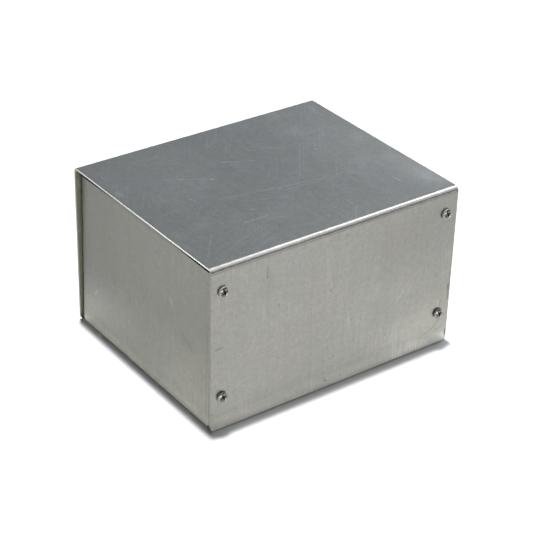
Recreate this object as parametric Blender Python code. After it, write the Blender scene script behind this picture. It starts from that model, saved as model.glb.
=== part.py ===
"""A two-piece folded aluminium project box, about 5 x 4 x 3 inches.

The cover is one sheet folded twice: the top, a front flap and a rear flap. The chassis is another
sheet: the floor, two ends folded up from it, and four flanges folded in from the ends' upright
edges. The flaps lie over the flanges, and eight cross-recess pan-head screws hold them there.

Frame: metres, +Z up, X along the long side, the front faces -Y. The origin is in the middle of
the floor's underside, on the surface that the box stands on.
"""

import math

import bmesh
import bpy
from mathutils import Matrix, Vector

MM = 0.001

# Driving sizes of the box
LENGTH = 125.0 * MM             # cover, along X
DEPTH = 103.4 * MM              # over the outer faces of the two flaps
HEIGHT = 76.2 * MM              # from the floor's underside to the top face
SHEET = 1.0 * MM                # thickness of both sheets
COVER_BEND_RADIUS = 2.3 * MM    # outer radius of the two bends beside the top
BEND_RADIUS = 1.8 * MM          # outer radius of every bend in the chassis
CUT_EDGE_BREAK = 0.12 * MM      # small chamfer left along every sheared edge

# Cover
FLAP_LIFT = 0.3 * MM            # flaps stop this far above the floor's underside
FLAP_CORNER_RADIUS = 2.0 * MM   # rounded lower corners of the flaps

# Chassis
SLIDE_CLEARANCE = 0.3 * MM      # between the flaps and what lies behind them
TOP_CLEARANCE = 0.5 * MM        # between the ends' upper edges and the top
END_INSET = 0.8 * MM            # ends stand this far inside the cover's side edges, at the floor
END_LEAN = math.radians(1.05)   # the ends are folded a little past square
FLANGE_WIDTH = 10.0 * MM        # from the end's outer face to the flange's free edge
FLANGE_MITRE = 2.5 * MM         # slanted cut at both ends of a flange
CORNER_RELIEF = 0.7 * MM        # open notch between the floor's bend and the foot of a flange
SHOULDER_DROP = 2.3 * MM        # how far an end's upper edge falls towards its corners
SHOULDER_RUN = 26.0 * MM        # length of that slope, from the start of the upright bend

# Screws and their holes
SCREW_INSET = 5.8 * MM          # from the cover's side edge
PATTERN_SHIFT = -0.3 * MM       # the punched pattern sits a little left of the middle
UPPER_SCREW_DROP = 11.0 * MM    # below the top face
LOWER_SCREW_RISE = 16.1 * MM    # above the floor's underside
SHANK_DIAMETER = 2.5 * MM       # thread's mean diameter, since the shank is plain here
SHANK_LENGTH = 6.4 * MM         # under the head, with the point
POINT_LENGTH = 1.6 * MM
POINT_DIAMETER = 0.8 * MM
SHANK_CLEARANCE = 0.3 * MM      # all round, in the chassis
COVER_HOLE_CLEARANCE = 0.5 * MM  # all round, in the cover
HEAD_SEAT_GAP = 0.1 * MM        # under the head
HEAD_DIAMETER = 5.0 * MM
HEAD_HEIGHT = 1.6 * MM
HEAD_SKIRT = 0.6 * MM           # straight side of the head, under its dome
HEAD_FOOT_CHAMFER = 0.15 * MM
DOME_FULLNESS = 0.8             # 1 is an ellipse, and less is squarer at the shoulder
RECESS_SPAN = 2.8 * MM          # tip to tip of the cross, at the head's crown
RECESS_FLOOR_SPAN = 1.1 * MM
RECESS_SLOT = 0.7 * MM          # width of one arm, at the head's crown
RECESS_FLOOR_SLOT = 0.35 * MM
RECESS_DEPTH = 1.15 * MM
RECESS_TURN = {                 # how each screw was left when it was tightened
    ("front", "upper", "left"): 24.0,
    ("front", "upper", "right"): 27.0,
    ("front", "lower", "left"): 20.0,
    ("front", "lower", "right"): 30.0,
    ("rear", "upper", "left"): 12.0,
    ("rear", "upper", "right"): 41.0,
    ("rear", "lower", "left"): 3.0,
    ("rear", "lower", "right"): 55.0,
}

# Facets
BEND_STEPS = 8                  # flats in a quarter bend
CORNER_STEPS = 6                # flats in a rounded flap corner
HOLE_SIDES = 32
HEAD_SIDES = 32
DOME_STEPS = 7
CUTTER_OVERRUN = 1.0 * MM       # how far a cutter passes both faces of what it cuts
WELD_DISTANCE = 0.001 * MM      # joins the panels' shared corners and nothing else
CUT_EDGE_ANGLE = math.radians(50)   # sharper than this is a sheared edge, not a bend's flats
SMOOTH_ANGLE = math.radians(30)

# Worked out from the sizes above
COVER_MIDDLE = Vector((0.0, 0.0, HEIGHT / 2))
CHASSIS_LENGTH = LENGTH - 2 * END_INSET
CHASSIS_DEPTH = DEPTH - 2 * (SHEET + SLIDE_CLEARANCE)
FLOOR_BEND_X = CHASSIS_LENGTH / 2 - BEND_RADIUS
FLANGE_BEND_Y = CHASSIS_DEPTH / 2 - BEND_RADIUS
FOLD_ANGLE = math.pi / 2 + END_LEAN
END_TOP_Z = HEIGHT - SHEET - TOP_CLEARANCE
COVER_HOLE_DIAMETER = SHANK_DIAMETER + 2 * COVER_HOLE_CLEARANCE
PILOT_HOLE_DIAMETER = SHANK_DIAMETER + 2 * SHANK_CLEARANCE

SIDES = {"left": -1, "right": 1}
FACES = {"front": -1, "rear": 1}
LEVELS = {"lower": LOWER_SCREW_RISE, "upper": HEIGHT - UPPER_SCREW_DROP}


def clear_scene():
    """Remove every object that the scene starts with."""
    for existing in list(bpy.data.objects):
        bpy.data.objects.remove(existing, do_unlink=True)


def make_material(name, colour, roughness, metallic=1.0):
    """A Principled material with one colour."""
    material = bpy.data.materials.new(name)
    material.use_nodes = True
    shader = material.node_tree.nodes["Principled BSDF"]
    shader.inputs["Base Color"].default_value = (*colour, 1.0)
    shader.inputs["Roughness"].default_value = roughness
    shader.inputs["Metallic"].default_value = metallic
    material.diffuse_color = (*colour, 1.0)
    return material


def add_object(name, bm, material):
    """Turn a bmesh into a named object with its own material."""
    mesh = bpy.data.meshes.new(name)
    bm.to_mesh(mesh)
    bm.free()
    mesh.materials.append(material)
    part = bpy.data.objects.new(name, mesh)
    bpy.context.scene.collection.objects.link(part)
    return part


def shade_round(part):
    """Smooth shading, kept sharp at real edges and flat on wide faces."""
    part.data.shade_smooth()
    part.data.set_sharp_from_angle(angle=SMOOTH_ANGLE)
    shading = part.modifiers.new("Flat faces", "WEIGHTED_NORMAL")
    shading.keep_sharp = True


def add_panel(bm, corners):
    """One flat panel of a folded sheet, from its corners in order."""
    bm.faces.new([bm.verts.new(corner) for corner in corners])


def add_strip(bm, first_edge_points, second_edge_points):
    """A row of flats between two matching lines of points, such as a bend."""
    for k in range(len(first_edge_points) - 1):
        add_panel(bm, (
            first_edge_points[k],
            first_edge_points[k + 1],
            second_edge_points[k + 1],
            second_edge_points[k],
        ))


def join_panels(bm, middle):
    """Weld the panels along their shared edges and turn their faces away from the middle."""
    bmesh.ops.remove_doubles(bm, verts=bm.verts, dist=WELD_DISTANCE)
    bm.normal_update()
    for face in bm.faces:
        if face.normal.dot(face.calc_center_median() - middle) < 0:
            face.normal_flip()


def thicken(part):
    """Give a folded surface the sheet's thickness on its inner side, and break its cut edges."""
    solidify = part.modifiers.new("Sheet thickness", "SOLIDIFY")
    solidify.thickness = SHEET
    solidify.offset = -1.0
    solidify.use_even_offset = True
    solidify.use_rim = True
    edges = part.modifiers.new("Cut edges", "BEVEL")
    edges.width = CUT_EDGE_BREAK
    edges.segments = 1
    edges.limit_method = "ANGLE"
    edges.angle_limit = CUT_EDGE_ANGLE


def cut(part, cutter):
    """Subtract a cutter, which stays in the file as a wire guide."""
    cutter.hide_render = True
    cutter.display_type = "WIRE"
    boolean = part.modifiers.new("Cut " + cutter.name, "BOOLEAN")
    boolean.operation = "DIFFERENCE"
    boolean.solver = "EXACT"
    boolean.object = cutter


def screw_place(face, level, side):
    """The point on the flap's outer face where a screw's axis passes."""
    x = SIDES[side] * (LENGTH / 2 - SCREW_INSET) + PATTERN_SHIFT
    return Vector((x, FACES[face] * DEPTH / 2, LEVELS[level]))


def hole_cutter(name, diameter, first_y, last_y, material):
    """Four round punches along Y, one for each screw of both faces at once."""
    bm = bmesh.new()
    for side in SIDES:
        for level in LEVELS:
            place = screw_place("front", level, side)
            middle = Vector((place.x, (first_y + last_y) / 2, place.z))
            bmesh.ops.create_cone(
                bm,
                cap_ends=True,
                segments=HOLE_SIDES,
                radius1=diameter / 2,
                radius2=diameter / 2,
                depth=last_y - first_y,
                matrix=Matrix.Translation(middle) @ Matrix.Rotation(math.pi / 2, 4, "X"),
            )
    return add_object(name, bm, material)


def punch(part, diameter, outer_face_y, material):
    """Punch the screw pattern through both walls that stand at the given distance from X."""
    for face, sign in FACES.items():
        near = sign * (outer_face_y + CUTTER_OVERRUN)
        far = sign * (outer_face_y - SHEET - CUTTER_OVERRUN)
        name = part.name + "_punch_" + face
        cut(part, hole_cutter(name, diameter, min(near, far), max(near, far), material))


def flap_outline(sign):
    """A flap from its bend down, with rounded lower corners."""
    y = sign * DEPTH / 2
    corners = [
        Vector((LENGTH / 2, y, HEIGHT - COVER_BEND_RADIUS)),
        Vector((-LENGTH / 2, y, HEIGHT - COVER_BEND_RADIUS)),
    ]
    centre_x = LENGTH / 2 - FLAP_CORNER_RADIUS
    centre_z = FLAP_LIFT + FLAP_CORNER_RADIUS
    for start in (math.pi, 1.5 * math.pi):
        side = -1 if start == math.pi else 1
        for k in range(CORNER_STEPS + 1):
            angle = start + k / CORNER_STEPS * math.pi / 2
            corners.append(Vector((
                side * centre_x + FLAP_CORNER_RADIUS * math.cos(angle),
                y,
                centre_z + FLAP_CORNER_RADIUS * math.sin(angle),
            )))
    return corners


def cover_bend(sign, x):
    """Points round the outside of a cover bend, from the top face down to the flap."""
    radius = COVER_BEND_RADIUS
    centre_y = sign * (DEPTH / 2 - radius)
    centre_z = HEIGHT - radius
    angles = [k / BEND_STEPS * math.pi / 2 for k in range(BEND_STEPS + 1)]
    return [
        Vector((x, centre_y + sign * radius * math.sin(a), centre_z + radius * math.cos(a)))
        for a in angles
    ]


def build_cover(sheet_material, guide_material):
    """Top, two bends and two flaps, folded from one sheet and punched for the screws."""
    bm = bmesh.new()
    top_y = DEPTH / 2 - COVER_BEND_RADIUS
    add_panel(bm, (
        Vector((-LENGTH / 2, -top_y, HEIGHT)),
        Vector((LENGTH / 2, -top_y, HEIGHT)),
        Vector((LENGTH / 2, top_y, HEIGHT)),
        Vector((-LENGTH / 2, top_y, HEIGHT)),
    ))
    for sign in FACES.values():
        add_strip(bm, cover_bend(sign, -LENGTH / 2), cover_bend(sign, LENGTH / 2))
        add_panel(bm, flap_outline(sign))
    join_panels(bm, COVER_MIDDLE)
    cover = add_object("cover", bm, sheet_material)
    thicken(cover)
    punch(cover, COVER_HOLE_DIAMETER, DEPTH / 2, guide_material)
    shade_round(cover)
    return cover


def floor_bend_point(side, angle, y):
    """A point on the outside of the bend from the floor to an end."""
    return Vector((
        side * (FLOOR_BEND_X + BEND_RADIUS * math.sin(angle)),
        y,
        BEND_RADIUS * (1 - math.cos(angle)),
    ))


def end_point(side, up, y, inward=0.0):
    """A point on a leaning end: so far up it from the floor's bend, across it, and in from it."""
    foot = floor_bend_point(side, FOLD_ANGLE, y)
    up_the_end = Vector((-side * math.sin(END_LEAN), 0.0, math.cos(END_LEAN)))
    into_the_box = Vector((-side * math.cos(END_LEAN), 0.0, -math.sin(END_LEAN)))
    return foot + up * up_the_end + inward * into_the_box


def flange_bend(side, sign, up):
    """Points round the outside of the bend from an end to a flange, at one height."""
    angles = [k / BEND_STEPS * math.pi / 2 for k in range(BEND_STEPS + 1)]
    return [
        end_point(
            side,
            up,
            sign * (FLANGE_BEND_Y + BEND_RADIUS * math.sin(a)),
            inward=BEND_RADIUS * (1 - math.cos(a)),
        )
        for a in angles
    ]


def build_chassis(sheet_material, guide_material):
    """Floor, two leaning ends and four flanges, folded from one sheet and punched."""
    bm = bmesh.new()
    half_depth = CHASSIS_DEPTH / 2
    add_panel(bm, (
        Vector((-FLOOR_BEND_X, -half_depth, 0.0)),
        Vector((FLOOR_BEND_X, -half_depth, 0.0)),
        Vector((FLOOR_BEND_X, -FLANGE_BEND_Y, 0.0)),
        Vector((FLOOR_BEND_X, FLANGE_BEND_Y, 0.0)),
        Vector((FLOOR_BEND_X, half_depth, 0.0)),
        Vector((-FLOOR_BEND_X, half_depth, 0.0)),
        Vector((-FLOOR_BEND_X, FLANGE_BEND_Y, 0.0)),
        Vector((-FLOOR_BEND_X, -FLANGE_BEND_Y, 0.0)),
    ))
    fold_angles = [k / BEND_STEPS * FOLD_ANGLE for k in range(BEND_STEPS + 1)]
    foot_z = floor_bend_point(1, FOLD_ANGLE, 0.0).z
    end_height = (END_TOP_Z - foot_z) / math.cos(END_LEAN)
    corner_height = end_height - SHOULDER_DROP
    shoulder_y = FLANGE_BEND_Y - SHOULDER_RUN
    flange_foot = CORNER_RELIEF
    for side in SIDES.values():
        add_strip(
            bm,
            [floor_bend_point(side, a, -FLANGE_BEND_Y) for a in fold_angles],
            [floor_bend_point(side, a, FLANGE_BEND_Y) for a in fold_angles],
        )
        add_panel(bm, (
            end_point(side, 0.0, -FLANGE_BEND_Y),
            end_point(side, 0.0, FLANGE_BEND_Y),
            end_point(side, flange_foot, FLANGE_BEND_Y),
            end_point(side, corner_height, FLANGE_BEND_Y),
            end_point(side, end_height, shoulder_y),
            end_point(side, end_height, -shoulder_y),
            end_point(side, corner_height, -FLANGE_BEND_Y),
            end_point(side, flange_foot, -FLANGE_BEND_Y),
        ))
        for sign in FACES.values():
            add_strip(
                bm,
                flange_bend(side, sign, flange_foot),
                flange_bend(side, sign, corner_height),
            )
            y = sign * half_depth
            add_panel(bm, (
                end_point(side, flange_foot, y, inward=BEND_RADIUS),
                end_point(side, flange_foot + FLANGE_MITRE, y, inward=FLANGE_WIDTH),
                end_point(side, corner_height - FLANGE_MITRE, y, inward=FLANGE_WIDTH),
                end_point(side, corner_height, y, inward=BEND_RADIUS),
            ))
    join_panels(bm, COVER_MIDDLE)
    chassis = add_object("chassis", bm, sheet_material)
    thicken(chassis)
    punch(chassis, PILOT_HOLE_DIAMETER, half_depth, guide_material)
    shade_round(chassis)
    return chassis


def head_profile():
    """The screw's outline from the crown of its head to its point, as (radius, height) pairs.

    Height zero is the underside of the head, and the shank goes down from there.
    """
    radius = HEAD_DIAMETER / 2
    dome_rise = HEAD_HEIGHT - HEAD_SKIRT
    outline = [(0.0, HEAD_HEIGHT)]
    for k in range(1, DOME_STEPS + 1):
        angle = k / DOME_STEPS * math.pi / 2
        outline.append((
            radius * math.sin(angle) ** DOME_FULLNESS,
            HEAD_SKIRT + dome_rise * max(0.0, math.cos(angle)) ** DOME_FULLNESS,
        ))
    outline.append((radius, HEAD_FOOT_CHAMFER))
    outline.append((radius - HEAD_FOOT_CHAMFER, 0.0))
    outline.append((SHANK_DIAMETER / 2, 0.0))
    outline.append((SHANK_DIAMETER / 2, POINT_LENGTH - SHANK_LENGTH))
    outline.append((POINT_DIAMETER / 2, -SHANK_LENGTH))
    outline.append((0.0, -SHANK_LENGTH))
    return outline


def turned_solid(outline, sides):
    """A closed solid of revolution about Z, from an outline that starts and ends on the axis."""
    bm = bmesh.new()
    rings = []
    for radius, height in outline:
        if radius == 0.0:
            rings.append([bm.verts.new((0.0, 0.0, height))])
            continue
        angles = [2 * math.pi * k / sides for k in range(sides)]
        rings.append([
            bm.verts.new((radius * math.cos(a), radius * math.sin(a), height)) for a in angles
        ])
    for upper, lower in zip(rings, rings[1:]):
        for k in range(sides):
            n = (k + 1) % sides
            corners = [upper[k % len(upper)], lower[k % len(lower)]]
            if len(lower) > 1:
                corners.append(lower[n])
            if len(upper) > 1:
                corners.append(upper[n])
            bm.faces.new(corners)
    bmesh.ops.recalc_face_normals(bm, faces=bm.faces)
    return bm


def recess_cutter(name, material):
    """A tapered cross that sinks into the head from its crown."""
    bm = bmesh.new()
    crown = HEAD_HEIGHT + CUTTER_OVERRUN
    floor = HEAD_HEIGHT - RECESS_DEPTH
    # The taper goes on above the crown at the slope it has inside the head
    flare = (CUTTER_OVERRUN + RECESS_DEPTH) / RECESS_DEPTH
    span = RECESS_FLOOR_SPAN + flare * (RECESS_SPAN - RECESS_FLOOR_SPAN)
    slot = RECESS_FLOOR_SLOT + flare * (RECESS_SLOT - RECESS_FLOOR_SLOT)

    def cross(length, width, z):
        """The twelve corners of a cross, in order round it."""
        tip, half = length / 2, width / 2
        quarter = [(tip, -half), (tip, half), (half, half)]
        ring = []
        for k in range(4):
            turn = Matrix.Rotation(k * math.pi / 2, 2)
            ring += [bm.verts.new((*(turn @ Vector(p)), z)) for p in quarter]
        return ring

    low = cross(RECESS_FLOOR_SPAN, RECESS_FLOOR_SLOT, floor)
    high = cross(span, slot, crown)
    bm.faces.new(list(reversed(low)))
    bm.faces.new(high)
    for k in range(len(low)):
        n = (k + 1) % len(low)
        bm.faces.new((low[k], low[n], high[n], high[k]))
    bmesh.ops.recalc_face_normals(bm, faces=bm.faces)
    return add_object(name, bm, material)


def build_screw(face, level, side, screw_material, guide_material):
    """One screw, turned, with its cross recess, seated on the flap's outer face."""
    name = "_".join(("screw", face, level, side))
    screw = add_object(name, turned_solid(head_profile(), HEAD_SIDES), screw_material)
    cutter = recess_cutter(name + "_recess", guide_material)
    outward = FACES[face]
    seat = screw_place(face, level, side) + Vector((0.0, outward * HEAD_SEAT_GAP, 0.0))
    placing = (
        Matrix.Translation(seat)
        @ Matrix.Rotation(-outward * math.pi / 2, 4, "X")
        @ Matrix.Rotation(math.radians(RECESS_TURN[face, level, side]), 4, "Z")
    )
    screw.matrix_world = placing
    cutter.matrix_world = placing
    cut(screw, cutter)
    shade_round(screw)
    return screw


def main():
    clear_scene()
    cover_sheet = make_material("cover_aluminium", (0.55, 0.56, 0.56), 0.38)
    chassis_sheet = make_material("chassis_aluminium", (0.50, 0.50, 0.48), 0.42)
    screw_plate = make_material("zinc_plated_steel", (0.60, 0.59, 0.57), 0.25)
    guide = make_material("guide", (0.1, 0.4, 0.8), 0.5, metallic=0.0)
    build_cover(cover_sheet, guide)
    build_chassis(chassis_sheet, guide)
    for face in FACES:
        for level in LEVELS:
            for side in SIDES:
                build_screw(face, level, side, screw_plate, guide)


main()
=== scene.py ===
"""Looks of the aluminium project box: bare scratched sheet, cut edges, bends and plated screws.

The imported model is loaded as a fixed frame. The two sheets and the screws are modelled again at the
same places with finer bends, rounded cut edges, slightly uneven panels and real screw threads.
Frame: metres, +Z up, X along the long side, the front faces -Y.
"""

import math

import bmesh
import bpy
from mathutils import Matrix, Vector


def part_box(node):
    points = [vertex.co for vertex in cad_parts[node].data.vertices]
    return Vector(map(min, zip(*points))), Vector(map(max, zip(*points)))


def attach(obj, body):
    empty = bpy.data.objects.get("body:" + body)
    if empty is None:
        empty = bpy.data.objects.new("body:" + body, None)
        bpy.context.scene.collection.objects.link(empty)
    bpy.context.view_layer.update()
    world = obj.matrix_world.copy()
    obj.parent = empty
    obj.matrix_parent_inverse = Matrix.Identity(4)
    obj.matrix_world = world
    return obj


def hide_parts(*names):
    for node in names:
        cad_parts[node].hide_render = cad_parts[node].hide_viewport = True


MM = 0.001

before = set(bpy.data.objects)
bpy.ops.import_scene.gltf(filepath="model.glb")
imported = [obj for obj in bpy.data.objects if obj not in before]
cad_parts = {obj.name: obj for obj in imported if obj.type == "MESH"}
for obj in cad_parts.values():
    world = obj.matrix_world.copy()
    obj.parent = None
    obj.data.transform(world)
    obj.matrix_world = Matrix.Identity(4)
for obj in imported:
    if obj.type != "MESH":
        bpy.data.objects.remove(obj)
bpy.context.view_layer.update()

# Sizes of the real box, read from the frame where it has them
COVER_LOW, COVER_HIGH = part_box("cover")
CHASSIS_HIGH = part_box("chassis")[1]
HALF_LENGTH = COVER_HIGH.x
HALF_DEPTH = COVER_HIGH.y
TOP = COVER_HIGH.z
FLAP_BOTTOM = COVER_LOW.z
END_OUT = CHASSIS_HIGH.x
CHASSIS_HALF_DEPTH = CHASSIS_HIGH.y
END_TOP = CHASSIS_HIGH.z
SHEET = 1.0 * MM
BEND_RADIUS = 1.8 * MM
COVER_BEND_RADIUS = 2.3 * MM
COVER_FLAT_DEPTH = HALF_DEPTH - COVER_BEND_RADIUS   # half the flat of the top, between its bends
COVER_BEND_Z = TOP - COVER_BEND_RADIUS
FLAP_CORNER_RADIUS = 2.0 * MM
END_LEAN = math.radians(1.05)
FLANGE_WIDTH = 10.0 * MM
FLANGE_MITRE = 2.5 * MM
SHOULDER_DROP = 2.5 * MM        # how far an end's upper edge falls towards its corners
SHOULDER_RUN = 44.0 * MM
CORNER_RELIEF = 0.3 * MM
FLOOR_BEND_X = END_OUT - BEND_RADIUS
FLANGE_BEND_Y = CHASSIS_HALF_DEPTH - BEND_RADIUS
FOLD_ANGLE = math.pi / 2 + END_LEAN
CUT_EDGE_ROUNDING = 0.16 * MM
COVER_HOLE_DIAMETER = 3.5 * MM
PILOT_HOLE_DIAMETER = 3.1 * MM
CUTTER_OVERRUN = 1.0 * MM
WELD_DISTANCE = 0.001 * MM

# How far a real folded panel is from flat
PANEL_GRID = 4.0 * MM
PANEL_DISH = 0.10 * MM
END_BULGE = 1.0 * MM

# Screws
HEAD_HEIGHT = 1.6 * MM          # in the frame, where it gives the plane of the head's underside
CROWN_HEIGHT = 1.35 * MM        # as modelled here
HEAD_SHARE = 0.94               # of the frame's head radius
HEAD_SKIRT = 0.45 * MM          # straight side under the dome
HEAD_FOOT_ROUNDING = 0.15 * MM
DOME_FULLNESS = 0.8
RECESS_SPAN = 2.8 * MM
RECESS_FLOOR_SPAN = 1.1 * MM
RECESS_SLOT = 0.7 * MM
RECESS_FLOOR_SLOT = 0.35 * MM
RECESS_DEPTH = 1.15 * MM
RECESS_OVERRUN = 0.5 * MM       # how far its cutter stands above the crown
RECESS_EDGE_ROUNDING = 0.05 * MM
THREAD_PITCH = 1.06 * MM
THREAD_MAJOR = 2.9 * MM
THREAD_ROOT = 2.1 * MM
RIDGE_HALF_WIDTH = 0.28         # of the pitch
RIDGE_START = 0.6               # pitches in which the thread rises under the head
RIDGE_REACH = 1.15              # the thread ends a little nearer the point than the root does
POINT_LENGTH = 1.6 * MM
POINT_SHARE = 0.12              # of the root, left at the point
SCREW_SIDES = 64
DOME_STEPS = 12
FOOT_STEPS = 4
THREAD_ROWS = 84
RECESS_TURN = {
    ("front", "upper", "left"): 24.0,
    ("front", "upper", "right"): 27.0,
    ("front", "lower", "left"): 20.0,
    ("front", "lower", "right"): 30.0,
    ("rear", "upper", "left"): 12.0,
    ("rear", "upper", "right"): 41.0,
    ("rear", "lower", "left"): 3.0,
    ("rear", "lower", "right"): 55.0,
}

BEND_STEPS = 20
CORNER_STEPS = 10
HOLE_SIDES = 48

# Angles from which an edge is rounded, or shaded as sharp
SHEET_ROUNDING_ANGLE = math.radians(50)
SHEET_SHARP_ANGLE = math.radians(35)
SCREW_ROUNDING_ANGLE = math.radians(45)
SCREW_SHARP_ANGLE = math.radians(40)
FACE_SHADING_WEIGHT = 80

SIDES = {"left": -1, "right": 1}
FACES = {"front": -1, "rear": 1}
CORNERS = [(level, side) for level in ("lower", "upper") for side in SIDES]

# Camera, set from the edges of the box in the photograph
CAMERA_PLACE = Vector((-0.37132, -0.50391, 0.40139))
CAMERA_AIM = Vector((-0.00484, -0.00897, 0.03830))
CAMERA_ROLL = math.radians(1.55)
CAMERA_LENS = 113.28
SENSOR_WIDTH = 36.0
CLIP_START = 0.01
CLIP_END = 20.0


def add_camera():
    """The photograph's viewpoint, with no shift and no depth of field."""
    data = bpy.data.cameras.new("camera")
    data.lens = CAMERA_LENS
    data.sensor_width = SENSOR_WIDTH
    data.clip_start = CLIP_START
    data.clip_end = CLIP_END
    camera = bpy.data.objects.new("camera", data)
    bpy.context.scene.collection.objects.link(camera)
    camera.location = CAMERA_PLACE
    look = (CAMERA_AIM - CAMERA_PLACE).to_track_quat("-Z", "Y").to_matrix()
    camera.rotation_euler = (look @ Matrix.Rotation(CAMERA_ROLL, 3, "Z")).to_euler()
    bpy.context.scene.camera = camera


# Materials

# The two axes of each face, in which its marks are placed
TOP_PLANE = (0, 1)
FLAP_PLANE = (0, 2)
END_PLANE = (1, 2)

# Marks on the top: x, y of both ends, half width, all in mm, and strength
TOP_SCRATCHES = (
    (-38.0, 21.2, -21.4, 11.3, 0.40, 0.42),
    (-20.6, 10.8, -19.6, 10.2, 0.70, 0.75),
    (-27.6, -6.0, 19.0, -14.2, 0.42, 0.38),
    (-9.6, -8.4, 8.8, -13.0, 0.38, 0.34),
    (7.5, 24.0, 36.6, 14.3, 0.40, 0.34),
    (10.8, 26.5, 21.2, 18.5, 0.38, 0.32),
    (-8.3, 21.7, -2.2, 17.7, 0.55, 0.60),
    (3.2, 16.4, 5.2, 14.0, 0.45, 0.42),
    (16.9, 15.5, 1.5, -5.9, 0.36, 0.22),
    (28.7, 14.7, 12.3, -7.6, 0.42, 0.30),
    (30.8, 14.5, 19.8, -0.2, 0.36, 0.26),
    (-37.5, 0.6, -36.4, -2.3, 0.50, 0.55),
    (-0.3, -45.7, 0.6, -49.2, 0.40, 0.35),
    (44.9, -29.1, 45.2, -34.8, 0.70, 0.35),
    (22.1, -16.3, 31.4, -14.6, 0.36, 0.22),
    (31.4, -14.6, 37.8, -21.0, 0.50, 0.34),
    (-16.7, -14.2, -3.3, -18.9, 0.40, 0.32),
    (0.4, -13.9, 16.2, -15.7, 0.40, 0.28),
    (15.9, -34.7, 16.1, -39.1, 0.55, 0.32),
    (56.8, 44.3, 55.9, 38.5, 0.45, 0.40),
    (5.2, 38.4, -1.8, 22.0, 0.38, 0.20),
    (-7.3, 34.8, 0.8, 39.0, 0.70, 0.20),
)

# Rubbed spots and short marks on the top, in the same numbers
TOP_RUBS = (
    (-30.5, -27.6, -16.4, -27.9, 0.62, 0.60),
    (-46.3, -28.0, -57.8, -42.4, 0.42, 0.48),
    (16.1, -41.1, 9.7, -49.3, 0.45, 0.45),
    (-57.7, 36.4, -57.7, 36.4, 0.80, 0.70),
    (-43.8, -26.4, -44.4, -27.2, 0.60, 0.50),
    (0.4, 35.2, 0.8, 34.4, 0.55, 0.45),
)

# Pale clouds on the top: middle, radii, all in mm, and how much paler
TOP_CLOUDS = (
    (33.6, 29.5, 9.0, 6.0, 0.10),
    (37.3, 46.9, 8.0, 5.0, 0.12),
    (57.8, 41.1, 5.0, 8.0, 0.10),
    (57.5, 8.0, 6.0, 10.0, 0.14),
    (45.2, -8.9, 7.0, 5.0, 0.09),
    (57.6, -14.1, 6.0, 6.0, 0.12),
    (58.6, -34.0, 5.0, 9.0, 0.14),
    (-47.1, -20.6, 7.0, 5.0, 0.12),
    (-57.4, -21.7, 5.0, 6.0, 0.12),
    (-59.0, 20.1, 2.0, 4.0, 0.16),
    (-15.0, -27.0, 13.0, 9.0, 0.08),
)

# Broad brighter and darker areas of each face, mostly painted light and shade where it mirrors the
# studio unevenly, with a few smudges: middle, radii, all in mm, and how much brighter.
# The cover's material is close to Cycles' limit: with more rows for the top or the front, the
# whole cover renders black.
TOP_LIGHT_AREAS = (
    (-40.0, 25.0, 40.0, 40.0, 0.11),
    (0.0, -42.0, 60.0, 20.0, 0.03),
    (40.0, 46.0, 26.0, 10.0, 0.02),
    (54.0, 4.0, 30.0, 62.0, 0.14),
    (60.0, -32.0, 14.0, 24.0, 0.20),
)
FRONT_LIGHT_AREAS = (
    (45.0, 60.0, 50.0, 28.0, -0.12),
    (48.0, 10.0, 34.0, 18.0, 0.22),
    (-50.0, 12.0, 40.0, 24.0, 0.04),
    (-35.5, 60.0, 4.0, 9.0, -0.05),
)
END_LIGHT_AREAS = (
    (38.0, 17.0, 20.0, 14.0, 0.06),
    (-35.0, 6.0, 27.0, 16.0, 0.18),
    (-33.0, 32.7, 9.0, 6.0, -0.07),
    (0.0, 18.0, 26.0, 16.0, -0.07),
)

# Dark grime on the front: x, z of both ends, half width, all in mm, and strength
FRONT_GRIME = (
    (-4.6, 3.8, -4.2, 3.8, 0.80, 0.80),
    (3.4, 3.7, 3.7, 3.7, 0.60, 0.61),
    (-50.4, 51.7, -50.2, 51.2, 0.60, 0.41),
    (-29.5, 24.4, -29.2, 24.2, 0.65, 0.57),
    (-56.9, 39.3, -60.0, 39.0, 0.60, 0.51),
    (-4.0, 20.1, -3.8, 20.0, 0.55, 0.47),
    (-1.1, 14.6, -0.9, 14.5, 0.55, 0.47),
    (-35.8, 69.6, -35.7, 64.1, 0.45, 0.49),
    (61.3, 28.1, 61.4, 27.2, 0.70, 0.68),
    (61.8, 34.5, 61.8, 33.2, 0.60, 0.74),
    (61.7, 5.6, 62.0, 1.8, 0.90, 0.85),
)

# Old brown stains on the front, in the same numbers
FRONT_STAINS = (
    (3.0, 71.1, 4.6, 70.8, 1.30, 0.40),
    (57.6, 22.6, 57.8, 19.0, 0.70, 0.45),
    (47.0, 6.3, 58.5, 10.6, 0.55, 0.45),
    (50.0, 4.6, 60.5, 8.8, 0.45, 0.40),
    (54.5, 9.8, 61.2, 15.0, 0.55, 0.50),
    (61.4, 29.0, 61.7, 22.0, 0.80, 0.75),
    (-6.2, 4.6, -5.0, 5.2, 0.80, 0.50),
)

# Cream marks on the front, in the same numbers
FRONT_CREAM = (
    (55.9, 22.8, 56.1, 18.4, 0.75, 0.60),
)

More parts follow.
